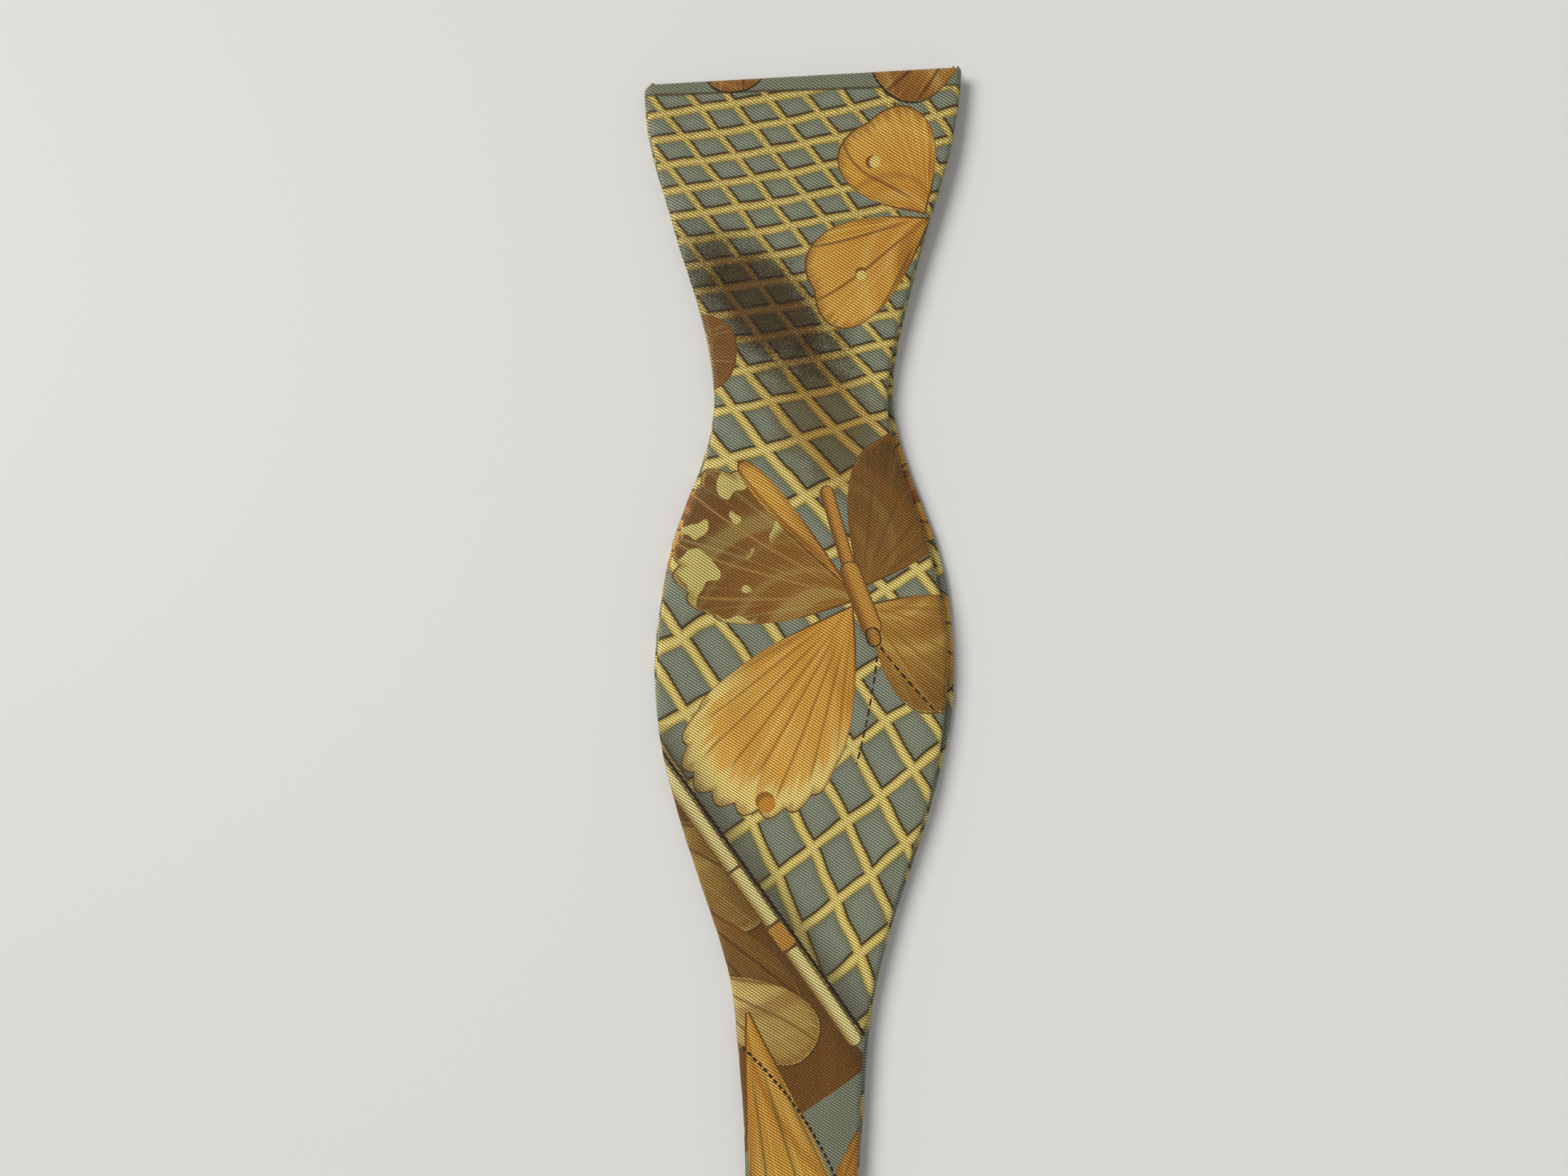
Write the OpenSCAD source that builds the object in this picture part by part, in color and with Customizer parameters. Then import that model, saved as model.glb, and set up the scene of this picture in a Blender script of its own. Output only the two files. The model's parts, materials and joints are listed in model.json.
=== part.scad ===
// Self-tie bow tie, untied and folded in half, lying flat.
// Two silk halves are joined by a hook and an eye; a slide buckle sets the neck size.
// +Z up, +Y from the closure towards the blade tips, +X across the blades.
// The origin is under the middle of the folded tie, on the surface it lies on.

/* [Blades] */
// Full width of a blade at its tip
tip_w = 64; // [60:1:72]
// Full width of a blade at its waist
waist_w = 35; // [30:1:40]
// Full width of a blade at its rounded bulge
bulge_w = 59; // [52:1:64]
// Distance from the tip to the waist
waist_at = 66; // [60:1:72]
// Distance from the tip to the bulge
bulge_at = 121; // [116:1:130]
// Thickness of a finished blade
blade_t = 2.1; // [1.8:0.1:2.4]

/* [Neckband] */
// Width of the neckband
band_w = 20; // [18:0.5:21]
// Thickness of the neckband
band_t = 1.0; // [0.9:0.1:1.2]
// Length of one half, from the fold to the middle of the tip
half_length = 440; // [425:5:460]

/* [Closure] */
// Length of the hook, from the fold to the bar its band is sewn on
hook_len = 15; // [14:0.5:17]
// Length of the eye between its two bars, seen from above
eye_len = 9; // [8.5:0.5:10]
// Distance from the fold to the middle of the slide buckle
slide_at = 104; // [98:1:108]
// Length of the slide buckle
slide_len = 14; // [12:1:16]

/* [Hidden] */
$fn = 48;

// Colours
SILK = "#A8955B";
SILK_BACK = "#8C9A8C";
LINING = "#EFE9DC";
THREAD = "#8A7B4C";
METAL = "#C9A961";
LABEL = "#F4F2EC";

// Cloth layers
silk_t = 0.25;               // one layer of silk twill
allowance_w = 7;             // seam allowance turned inside the blade
halves_gap = 0.3;            // air between the lower and the upper half
band_at = 248;               // where the blade ends and the plain band begins, from the tip
ramp_len = 18;               // length over which the blade thins to the band
upper_z = blade_t + halves_gap;

// Closure: every bar runs across the band
wire_r = 0.6;                // eye wire
bar_r = 0.5;                 // hook's sewing bar
plate_t = 0.7;               // sheet metal of hook and buckle
play = 0.08;                 // between the eye wire and the hook's curl
slack = 0.1;                 // between a bar and the cloth around it
loop_in = bar_r + slack;     // inside radius of the cloth loop on the hook
loop_out = loop_in + band_t;
bar_z = loop_out;            // height of the hook's sewing bar
curl_in = wire_r + play;
curl_out = curl_in + plate_t;
turn_in = wire_r + slack;    // inside radius of the cloth turn on the eye
turn_out = turn_in + band_t;
turn_z = bar_z + loop_out + halves_gap + turn_out;
fold_z = (turn_z + turn_out) / 2 + 0.05;   // half of the height, so the halves open out flat
eye_tilt = atan((turn_z - fold_z) / eye_len);
loop_flat = hook_len + 7;    // where the sewn-down end of the hook loop lies flat
loop_end = hook_len + 18;
strip_end = loop_flat + 36;  // free end of the upper band's rigid stretch
arm_x = band_w / 2 + 1.2;    // centre of each side wire of the eye

tip_slope = 3.2;             // the tips are cut slightly aslant, in degrees
lower_shift = 1.1;           // the lower blade reaches a little past the upper one
// How a blade lies: [sideways at its middle, sideways at its tip, extra half width]
lower_lie = [0.6, -0.3, 1.1];
upper_lie = [0, 0.3, 0];

// The fold line in the row's frame
reach = half_length + lower_shift + tip_w / 2 * tan(tip_slope);
fold_y = -(reach - curl_out) / 2;

// Half width at distance s from the tip: [distance, half width, slope]
stations = [
    [0, tip_w / 2, 0],
    [waist_at / 2, (tip_w + waist_w) / 4 + 0.4, -0.3],
    [waist_at, waist_w / 2, 0],
    [(waist_at + bulge_at) / 2, (waist_w + bulge_w) / 4 + 1.6, 0.33],
    [bulge_at, bulge_w / 2, 0],
    [bulge_at + 36, 0.766 * bulge_w / 2, -0.34],
    [bulge_at + 70, band_w / 2 + 3.3, -0.12],
    [bulge_at + 102, band_w / 2 + 1.3, -0.03],
    [band_at, band_w / 2, 0]
];

function hermite(t, a, b) =
    let (d = b[0] - a[0])
    (2 * t ^ 3 - 3 * t ^ 2 + 1) * a[1] + (t ^ 3 - 2 * t ^ 2 + t) * d * a[2]
    + (3 * t ^ 2 - 2 * t ^ 3) * b[1] + (t ^ 3 - t ^ 2) * d * b[2];

function span_of(s) = max([for (i = [0:len(stations) - 2]) if (s >= stations[i][0]) i]);

function half_width(s) =
    let (i = span_of(s), a = stations[i], b = stations[i + 1])
    hermite((s - a[0]) / (b[0] - a[0]), a, b);

// Share of the waist or bulge offsets, and of the tip offset, at distance s
function mid_share(s) = sin(180 * s / band_at);
function tip_share(s) = max(0, 1 - s / waist_at) ^ 2;

// One side of a blade's outline, inset all round, with the tip cut aslant
function blade_side(side, inset, lie) = [
    for (i = [0:40])
        let (
            s = inset + (band_at - inset) * (i / 40) ^ 1.05,
            w = half_width(s) + lie[2] * mid_share(s) - inset
        )
        [
            side * w + lie[0] * mid_share(s) + lie[1] * tip_share(s),
            -s + side * w * tan(tip_slope) * max(0, 1 - s / waist_at)
        ]
];

function reversed(list) = [for (i = [len(list) - 1:-1:0]) list[i]];

module blade_plate(inset, z_low, z_high, lie) {
    translate([0, 0, z_low])
        linear_extrude(z_high - z_low)
            polygon(concat(blade_side(-1, inset, lie), reversed(blade_side(1, inset, lie))));
}

// One silk cover of a blade: skin, half of the edge, and the allowance turned inside
module blade_cover(z_skin, z_seam, lie) {
    low = min(z_skin, z_seam);
    high = max(z_skin, z_seam);
    lip = z_skin < z_seam ? [z_seam - silk_t, z_seam] : [z_seam, z_seam + silk_t];
    skin = z_skin < z_seam ? [z_skin, z_skin + silk_t] : [z_skin - silk_t, z_skin];
    blade_plate(0, skin[0], skin[1], lie);
    difference() {
        blade_plate(0, low, high, lie);
        blade_plate(silk_t, low - 1, high + 1, lie);
    }
    difference() {
        blade_plate(0, lip[0], lip[1], lie);
        blade_plate(allowance_w, lip[0] - 1, lip[1] + 1, lie);
    }
}

// A ribbon: a path of [y, z] points along its underside, given a thickness and swept across
module ribbon(path, t, w) {
    top = [for (p = reversed(path)) [p[0], p[1] + t]];
    rotate([90, 0, 90])
        translate([0, 0, -w / 2])
            linear_extrude(w)
                polygon(concat(path, top));
}

// Half a ring of cloth around a bar at [y, z], on the side towards the fold
module half_turn(y, z, r_in, r_out, w) {
    rotate([90, 0, 90])
        translate([y, z, -w / 2])
            linear_extrude(w)
                difference() {
                    circle(r_out);
                    circle(r_in);
                    translate([0, -2 * r_out])
                        square(4 * r_out);
                }
}

// Lower half --------------------------------------------------------------

band_start = half_length - band_at;   // from the fold, where the band leaves the blade
ramp_start = band_start - ramp_len;

// The silk wrapped over both long edges of a band: [y, z] outline of each edge
module band_edges(y_from, y_blade, z) {
    outline = [
        [y_from, z + silk_t], [y_blade + 0.1, z + silk_t],
        [y_blade + 0.1, z + blade_t - silk_t], [y_blade, z + blade_t - silk_t],
        [ramp_start, z + band_t - silk_t], [y_from, z + band_t - silk_t]
    ];
    for (side = [-1, 1])
        translate([side * (band_w - silk_t) / 2, 0, 0])
            rotate([90, 0, 90])
                translate([0, 0, -silk_t / 2])
                    linear_extrude(silk_t)
                        polygon(outline);
}

// The band's loop round the hook's sewing bar, between two depths of the cloth
module hook_loop(z0, z1, w) {
    t = z1 - z0;
    r_out = loop_out - z0;
    r_in = loop_out - z1;
    half_turn(hook_len, bar_z, r_in, r_out, w);
    ribbon([
        [hook_len, bar_z + r_in], [hook_len + 1, bar_z + r_in],
        [loop_flat, band_t + r_in - loop_in], [loop_end, band_t + r_in - loop_in]
    ], t, w);
}

module lower_front_silk() {
    y_blade = band_start + lower_shift;
    color(SILK) {
        translate([0, half_length + lower_shift, 0])
            blade_cover(0, blade_t / 2, lower_lie);
        ribbon([[hook_len, 0], [y_blade + 0.1, 0]], silk_t, band_w);
        hook_loop(0, silk_t, band_w);
        band_edges(hook_len, y_blade, 0);
        for (side = [-1, 1])
            translate([side * (band_w - silk_t) / 2, 0, 0])
                hook_loop(silk_t, band_t - silk_t, silk_t);
    }
}

module lower_back_silk() {
    y_blade = band_start + lower_shift;
    z = band_t - silk_t;
    color(SILK_BACK) {
        translate([0, half_length + lower_shift, 0])
            blade_cover(blade_t, blade_t / 2, lower_lie);
        ribbon([
            [hook_len, z], [ramp_start, z],
            [y_blade, blade_t - silk_t], [y_blade + 0.1, blade_t - silk_t]
        ], silk_t, band_w);
        hook_loop(z, band_t, band_w);
    }
}

module lower_blade_interlining() {
    color(LINING)
        translate([0, half_length + lower_shift, 0])
            blade_plate(allowance_w, silk_t, blade_t - silk_t, lower_lie);
}

module lower_band_interlining() {
    w = band_w - 2 * silk_t;
    color(LINING) {
        ribbon([[hook_len, silk_t], [band_start + lower_shift, silk_t]], band_t - 2 * silk_t, w);
        hook_loop(silk_t, band_t - silk_t, w);
    }
}

// Slip stitches along the edge where the band was closed after turning
module closing_stitches(y_from, count, z) {
    pitch = 4;
    color(THREAD)
        for (i = [0:count - 1])
            translate([band_w / 2 + 0.15, y_from + i * pitch, z])
                rotate([-90, 0, 0])
                    cylinder(h = 2.4, r = 0.15, $fn = 16);
}

// A bar tack: short threads side by side across the band
module tack(y, z, count) {
    pitch = (band_w - 4) / (count - 1);
    color(THREAD)
        for (i = [0:count - 1])
            translate([-band_w / 2 + 2 + i * pitch, y, z])
                rotate([-90, 0, 0])
                    cylinder(h = 2.2, r = 0.2, $fn = 16);
}

module maker_label() {
    color(LABEL)
        translate([-6, ramp_start - 28, band_t])
            cube([12, 22, 0.2]);
}

// A folded tag, sewn down at its two short ends
module care_label() {
    color(LABEL)
        translate([-4, ramp_start - 38, band_t])
            difference() {
                cube([8, 7, 0.24]);
                translate([0.8, -1, 0.1])
                    cube([6.4, 9, 0.04]);
            }
}

// Closure -----------------------------------------------------------------

module bar_across(y, z, r, length) {
    translate([-length / 2, y, z])
        rotate([0, 90, 0])
            cylinder(h = length, r = r);
}

// Stamped hook: a tongue curled round the eye's wire, and a frame that holds the sewing bar
module hook() {
    tongue_w = 9;
    frame_w = band_w + 5.2;
    rib_y = [9.4, hook_len - loop_out - 0.2];
    low = bar_z - plate_t / 2;
    color(METAL) {
        ribbon([[0, fold_z - curl_out], [rib_y[0], low], [rib_y[1], low]], plate_t, tongue_w);
        half_turn(0, fold_z, curl_in, curl_out, tongue_w);
        translate([-tongue_w / 2, 0, fold_z + curl_in])
            cube([tongue_w, 1.4, plate_t]);
        translate([0, 0, low])
            linear_extrude(plate_t)
                difference() {
                    translate([-frame_w / 2, rib_y[0]])
                        square([frame_w, hook_len + bar_r - rib_y[0]]);
                    translate([-band_w / 2 - 1, rib_y[1]])
                        square([band_w + 2, hook_len]);
                }
        bar_across(hook_len, bar_z, bar_r, frame_w - 1);
    }
}

// Wire eye: a rounded rectangle that swings on the hook at its far bar
module eye() {
    corner = 2;
    run = norm([eye_len, turn_z - fold_z]);
    color(METAL)
        translate([0, 0, fold_z])
            rotate([eye_tilt, 0, 0]) {
                for (y = [0, run])
                    bar_across(y, 0, wire_r, 2 * (arm_x - corner));
                for (side = [-1, 1])
                    translate([side * arm_x, corner, 0])
                        rotate([-90, 0, 0])
                            cylinder(h = run - 2 * corner, r = wire_r);
                for (side = [-1, 1], far = [0, 1])
                    translate([side * (arm_x - corner), far ? run - corner : corner, 0])
                        rotate([0, 0, far ? (side > 0 ? 0 : 90) : (side > 0 ? 270 : 180)])
                            rotate_extrude(angle = 90)
                                translate([corner, 0])
                                    circle(wire_r);
            }
}

// Upper half --------------------------------------------------------------

leg_gap = 0.05;                 // between the running stretch and the pieces it meets
turn_leg = 3;                   // straight stretch of the cloth turn past the eye's bar
wrap_t = 0.6;                   // the band's end is thinned before it is wrapped
rail_t = 1.6;                   // width of the buckle's side rails
bar_l = 2.4;                    // width of the buckle's middle bar
under_z = upper_z - halves_gap - plate_t;          // underside of the buckle's end bars
over_z = upper_z + band_t + 0.25 + wrap_t + slack; // underside of its middle bar
wrap_top = over_z + plate_t + slack;

module band_turn() {
    color(SILK) {
        half_turn(eye_len, turn_z, turn_in, turn_out, band_w);
        ribbon([[eye_len, turn_z - turn_out], [eye_len + turn_leg, turn_z - turn_out]], band_t, band_w);
        ribbon([[eye_len, turn_z + turn_in], [eye_len + turn_leg, turn_z + turn_in]], band_t, band_w);
    }
}

// The stretch between the turn and the upper band; it lengthens as the neck size grows
module through_leg() {
    y0 = eye_len + turn_leg + leg_gap;
    color(SILK)
        ribbon([
            [y0, turn_z - turn_out], [hook_len + 5, turn_z - turn_out],
            [strip_end - 14, upper_z], [strip_end - leg_gap, upper_z]
        ], band_t, band_w);
}

// The stretch that comes back from the turn to the slide buckle
module return_leg() {
    y0 = eye_len + turn_leg + leg_gap;
    color(SILK_BACK)
        ribbon([
            [y0, turn_z + turn_in], [hook_len + 5, turn_z + turn_in],
            [slide_at - slide_len, wrap_top], [slide_at - bar_l / 2 - 6 - leg_gap, wrap_top]
        ], band_t, band_w);
}

module upper_front_silk() {
    z = upper_z + band_t - silk_t;
    z_top = upper_z + blade_t - silk_t;
    color(SILK) {
        translate([0, half_length, 0])
            blade_cover(upper_z + blade_t, upper_z + blade_t / 2, upper_lie);
        ribbon([
            [strip_end, z], [ramp_start, z], [band_start, z_top], [band_start + 0.1, z_top]
        ], silk_t, band_w);
        band_edges(strip_end, band_start, upper_z);
    }
}

module upper_back_silk() {
    color(SILK_BACK) {
        translate([0, half_length, 0])
            blade_cover(upper_z, upper_z + blade_t / 2, upper_lie);
        ribbon([[strip_end, upper_z], [band_start + 0.1, upper_z]], silk_t, band_w);
    }
}

module upper_blade_interlining() {
    color(LINING)
        translate([0, half_length, 0])
            blade_plate(allowance_w, upper_z + silk_t, upper_z + blade_t - silk_t, upper_lie);
}

module upper_band_interlining() {
    w = band_w - 2 * silk_t;
    color(LINING)
        ribbon([[strip_end, upper_z + silk_t], [band_start, upper_z + silk_t]],
            band_t - 2 * silk_t, w);
}

// Arched slide: end bars under the band, middle bar over it, joined by two curved rails
module slide_buckle() {
    rise = over_z - under_z;
    reach = slide_len / 2;
    bar_y = reach - 1.6;
    arch = [
        for (i = [-8:8])
            let (u = i / 8)
            [slide_at + u * reach, under_z + rise * (1 + cos(180 * u)) / 2]
    ];
    frame_w = band_w + 1.2 + 2 * rail_t;
    color(METAL) {
        for (side = [-1, 1])
            translate([side * (frame_w - rail_t) / 2, 0, 0])
                ribbon(arch, plate_t, rail_t);
        for (end = [-1, 1])
            translate([-frame_w / 2, slide_at + (end < 0 ? -reach : bar_y), under_z])
                cube([frame_w, reach - bar_y, plate_t]);
        translate([-frame_w / 2, slide_at - bar_l / 2, over_z])
            cube([frame_w, bar_l, plate_t]);
    }
}

// The band's thinned end, wrapped round the middle bar and sewn to itself
module end_wrap() {
    front = slide_at + bar_l / 2 + slack;
    back = slide_at - bar_l / 2 - 6;
    low = over_z - slack - wrap_t;
    color(SILK_BACK) {
        ribbon([[back, wrap_top], [front, wrap_top]], band_t, band_w);
        ribbon([[back - 3, low], [front, low]], wrap_t, band_w);
        translate([-band_w / 2, front, low])
            cube([band_w, wrap_t, wrap_top + band_t - low]);
    }
}

// Every piece is drawn from the fold line; this puts it in the row's frame
module place() {
    translate([0, fold_y, 0])
        children();
}

place() lower_front_silk();
place() lower_back_silk();
place() lower_blade_interlining();
place() lower_band_interlining();
place() closing_stitches(90, 16, band_t / 2);  // lower_closing_stitches
place() tack(loop_end - 5, 2 * band_t + 0.2, 11);  // hook_tack
place() maker_label();
place() care_label();
place() hook();
place() eye();
place() band_turn();
place() through_leg();
place() return_leg();
place() upper_front_silk();
place() upper_back_silk();
place() upper_blade_interlining();
place() upper_band_interlining();
place() closing_stitches(90, 16, upper_z + band_t / 2);  // upper_closing_stitches
place() slide_buckle();
place() end_wrap();
place() tack(slide_at - bar_l / 2 - 4.5, wrap_top + band_t + 0.2, 11);  // end_tack
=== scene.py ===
"""An untied silk bow tie, folded in half and laid flat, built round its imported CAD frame."""

import json
import math

import bmesh
import bpy
import numpy as np
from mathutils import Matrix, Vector


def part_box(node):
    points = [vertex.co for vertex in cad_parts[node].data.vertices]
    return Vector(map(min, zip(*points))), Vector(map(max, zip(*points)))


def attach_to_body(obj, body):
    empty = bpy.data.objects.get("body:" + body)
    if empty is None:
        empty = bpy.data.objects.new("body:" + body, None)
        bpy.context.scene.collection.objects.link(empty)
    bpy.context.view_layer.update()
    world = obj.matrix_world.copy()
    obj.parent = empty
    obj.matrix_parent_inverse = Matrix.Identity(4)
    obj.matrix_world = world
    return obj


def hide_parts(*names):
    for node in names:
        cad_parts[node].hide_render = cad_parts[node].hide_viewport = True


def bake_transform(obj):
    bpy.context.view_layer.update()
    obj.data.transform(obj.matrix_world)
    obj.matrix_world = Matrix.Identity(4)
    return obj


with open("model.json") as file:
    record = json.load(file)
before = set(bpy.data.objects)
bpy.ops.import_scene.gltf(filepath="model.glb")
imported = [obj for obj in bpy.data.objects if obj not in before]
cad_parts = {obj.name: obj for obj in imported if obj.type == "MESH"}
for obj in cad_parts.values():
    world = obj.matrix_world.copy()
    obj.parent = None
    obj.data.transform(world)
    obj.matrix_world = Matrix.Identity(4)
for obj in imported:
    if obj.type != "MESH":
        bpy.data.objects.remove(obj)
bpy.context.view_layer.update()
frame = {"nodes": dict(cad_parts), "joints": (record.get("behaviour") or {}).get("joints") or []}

MM = 0.001

# ---- frame places, in millimetres
JOINTS = {j["name"]: j for j in frame["joints"]}
FOLD_Y = JOINTS["fold"]["pos_m"][1] / MM
FOLD_Z = JOINTS["fold"]["pos_m"][2] / MM


def cad_box(node):
    """Lowest and highest corners of a CAD node, in millimetres."""
    low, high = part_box(node)
    return np.array(low) / MM, np.array(high) / MM


LOWER_FRONT = cad_box("lower_front_silk")
UPPER_FRONT = cad_box("upper_front_silk")
UPPER_BACK = cad_box("upper_back_silk")
TURN = cad_box("band_turn")
RETURN = cad_box("return_leg")
WRAP = cad_box("end_wrap")
HOOK = cad_box("hook")

BLADE_T = UPPER_FRONT[1][2] - UPPER_BACK[0][2]
UPPER_Z = UPPER_BACK[0][2]
BAND_W = TURN[1][0] - TURN[0][0]
TIP_W = UPPER_FRONT[1][0] - UPPER_FRONT[0][0]
# Thickness of the band and of one silk, the silk turned in at a seam, the gap over the floor
BAND_T, SILK_T, ALLOWANCE, FLOOR_GAP = 1.0, 0.25, 7.0, 0.02
# Widths of a blade, and how far from the tip they and the band are
WAIST_W, WAIST_AT = 35.0, 66.0
BULGE_W, BULGE_AT = 59.0, 121.0
BAND_AT = 248.0
TIP_SLOPE = math.tan(math.radians(3.2))
LOWER_SHIFT = LOWER_FRONT[1][1] - UPPER_FRONT[1][1]
UPPER_TIP = UPPER_FRONT[1][1] - TIP_W / 2 * TIP_SLOPE
LOWER_TIP = UPPER_TIP + LOWER_SHIFT
# Sideways at the middle, sideways at the tip, extra half width
LOWER_LIE = (0.6, -0.3, 1.1)
UPPER_LIE = (0.0, 0.3, 0.0)

# Distance from the tip, half width, slope
OUTLINE = (
    (0, TIP_W / 2, 0),
    (WAIST_AT / 2, (TIP_W + WAIST_W) / 4 + 0.4, -0.3),
    (WAIST_AT, WAIST_W / 2, 0),
    ((WAIST_AT + BULGE_AT) / 2, (WAIST_W + BULGE_W) / 4 + 1.6, 0.33),
    (BULGE_AT, BULGE_W / 2, 0),
    (BULGE_AT + 36, 0.766 * BULGE_W / 2, -0.34),
    (BULGE_AT + 70, BAND_W / 2 + 3.3, -0.12),
    (BULGE_AT + 102, BAND_W / 2 + 1.3, -0.03),
    (BAND_AT, BAND_W / 2, 0),
)


def smooth(low, high, x):
    """0 up to low, 1 from high, and an even curve between them."""
    t = np.clip((x - low) / (high - low), 0, 1)
    return t * t * (3 - 2 * t)


def half_width(s):
    """Half width of a blade and its band at distance s from the tip."""
    s = np.asarray(s, float)
    width = np.full_like(s, BAND_W / 2)
    for (s0, w0, m0), (s1, w1, m1) in zip(OUTLINE, OUTLINE[1:]):
        inside = (s >= s0) & (s <= s1)
        span = s1 - s0
        t = (s[inside] - s0) / span
        width[inside] = (
            (2 * t**3 - 3 * t**2 + 1) * w0
            + (t**3 - 2 * t**2 + t) * span * m0
            + (3 * t**2 - 2 * t**3) * w1
            + (t**3 - t**2) * span * m1
        )
    return width


def ripple(a, b, wavelength, seed):
    """A repeatable unevenness from about -1 to 1 over the plane (a, b), from five crossing waves."""
    total = 0
    for i in range(5):
        turn = 2.4 * i + seed
        k = 2 * math.pi / (wavelength * (0.7 + 0.17 * i))
        total = total + np.sin(k * (a * math.cos(turn) + b * math.sin(turn)) + 1.7 * seed * (i + 1))
    return total / 3.4


# ---- cloth made along a path
PATH_STEPS_PER_MM = 10
# Step from row to row, and points across a row between its edges
SILK_MESH, PAD_MESH = (1.0, 52), (2.5, 16)
FINE_STEP = 0.28
EDGE_ROWS = 8
EDGE_STEPS = np.array([0.35, 0.9, 1.7, 2.7, 3.9])
# How deep a rounded edge is, in half thicknesses, and how far over the side its seam lies
EDGE_DEPTH = 1.04
SEAM_ANGLE = math.radians(25)
# The interlining's gap to the silk, its inset on the band, and where it widens to that
PAD_GAP, PAD_INSET, PAD_WIDENS = 0.03, 0.35, (200, 246)
# Height and wavelength of each unevenness
WAVER, JITTER = (0.22, 31.0), (0.05, 5.2)
PUCKER, SWELL = (0.07, 4.6), (0.1, 16.0)
LIFT_WAVELENGTH = 62.0
RIDGE_RISE, RIDGE_FALL = 0.1, 0.14
# Side and radius of the tip's two corners
CORNERS = ((-1, 1.9), (1, 0.9))


def run_along(path):
    """Distance along a path at each of its points."""
    return np.concatenate([[0], np.cumsum(np.linalg.norm(np.diff(path, axis=0), axis=1))])


def unit(vectors):
    return vectors / np.maximum(np.linalg.norm(vectors, axis=-1, keepdims=True), 1e-9)


def resample(at, run, points):
    return np.stack([np.interp(at, run, points[:, k]) for k in (0, 1)], 1)


def blur(values, reach):
    """Values averaged with their neighbours; the two ends stay."""
    kernel = np.hanning(2 * reach + 3)[1:-1]
    kernel = kernel / kernel.sum()
    before = 2 * values[:1] - values[1:reach + 1][::-1]
    after = 2 * values[-1:] - values[-reach - 1:-1][::-1]
    padded = np.concatenate([before, values, after])
    return np.stack([np.convolve(padded[:, k], kernel, "valid") for k in range(values.shape[1])], 1)


def arc(y, z, radius, start, end, steps=24):
    """Points of an arc round (y, z), in degrees."""
    angles = np.radians(np.linspace(start, end, steps))
    return [(y + radius * math.cos(a), z + radius * math.sin(a)) for a in angles]


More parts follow.
